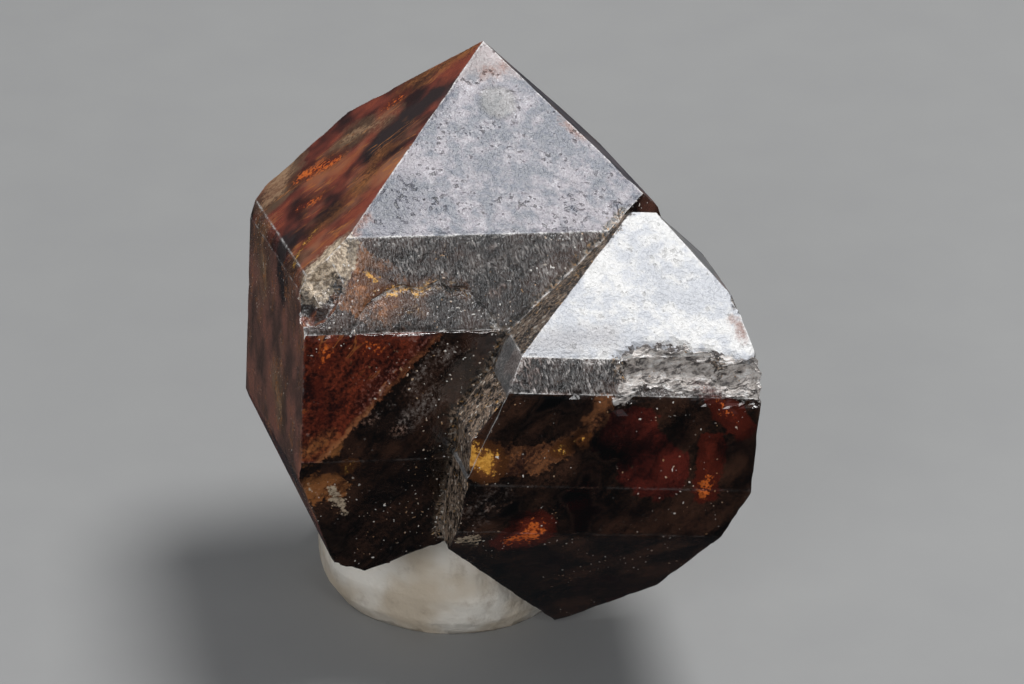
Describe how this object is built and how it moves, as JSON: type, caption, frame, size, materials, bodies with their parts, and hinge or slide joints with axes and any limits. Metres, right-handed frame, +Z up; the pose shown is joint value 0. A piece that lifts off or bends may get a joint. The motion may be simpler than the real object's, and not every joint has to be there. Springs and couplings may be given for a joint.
{
  "type": "zircon crystal specimen",
  "caption": "Dark red-brown zircon crystals grown together, square prisms with bevelled pyramid tips, standing in a small lump of white putty for display.",
  "frame": {"origin": "middle of the putty lump's flat underside", "axes": "+Z up along the crystals, -Y towards the viewer of the picture"},
  "size_m": [0.0213, 0.0195, 0.0237],
  "materials": {
    "zircon": "glassy and see-through in thin parts, finely etched",
    "putty": "smooth matt putty"
  },
  "bodies": {
    "root": {"zircon_crystals": "zircon", "putty_lump": "putty"}
  },
  "joints": []
}
